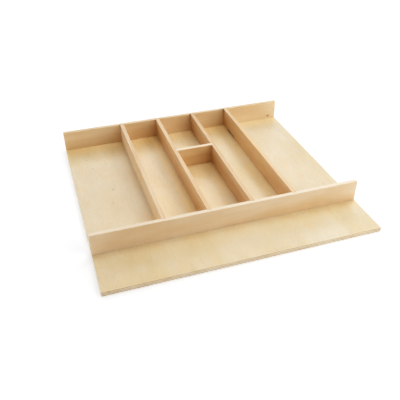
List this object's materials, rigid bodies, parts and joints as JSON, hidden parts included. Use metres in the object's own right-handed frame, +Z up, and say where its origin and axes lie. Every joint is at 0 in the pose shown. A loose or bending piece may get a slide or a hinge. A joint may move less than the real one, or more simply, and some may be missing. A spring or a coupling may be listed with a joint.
{
  "type": "drawer organizer insert",
  "caption": "Flat wooden utensil insert for a drawer: thin base with a bare front trim ledge, two full-width rails, long dividers between them and a short cross divider; side bays are open.",
  "frame": {"origin": "middle of the base board's underside, in plan the middle of the whole insert", "axes": "+X to the right along the rails, +Y from the front trim edge to the back rail, +Z up"},
  "size_m": [0.61, 0.559, 0.0605],
  "materials": {
    "base_plywood": "thin clear satin coat over pale close-grained veneer, grain front to back, layered edge",
    "rail_wood": "sanded pale wood under a thin clear satin coat, grain along the rail",
    "divider_wood": "sanded pale wood under a thin clear satin coat, grain along the divider",
    "screw_steel": "zinc plated"
  },
  "bodies": {
    "root": {"base_board": "base_plywood", "front_rail": "rail_wood", "back_rail": "rail_wood", "left_outer_divider": "divider_wood", "left_inner_divider": "divider_wood", "right_inner_divider": "divider_wood", "right_outer_divider": "divider_wood", "cross_divider": "divider_wood", "front_rail_screw_1": "screw_steel", "front_rail_screw_2": "screw_steel", "front_rail_screw_3": "screw_steel", "front_rail_screw_4": "screw_steel", "front_rail_screw_5": "screw_steel", "back_rail_screw_1": "screw_steel", "back_rail_screw_2": "screw_steel", "back_rail_screw_3": "screw_steel", "back_rail_screw_4": "screw_steel", "back_rail_screw_5": "screw_steel", "left_outer_divider_screw_1": "screw_steel", "left_outer_divider_screw_2": "screw_steel", "left_outer_divider_screw_3": "screw_steel", "left_inner_divider_screw_1": "screw_steel", "left_inner_divider_screw_2": "screw_steel", "left_inner_divider_screw_3": "screw_steel", "right_inner_divider_screw_1": "screw_steel", "right_inner_divider_screw_2": "screw_steel", "right_inner_divider_screw_3": "screw_steel", "right_outer_divider_screw_1": "screw_steel", "right_outer_divider_screw_2": "screw_steel", "right_outer_divider_screw_3": "screw_steel", "cross_divider_screw": "screw_steel"}
  },
  "joints": []
}
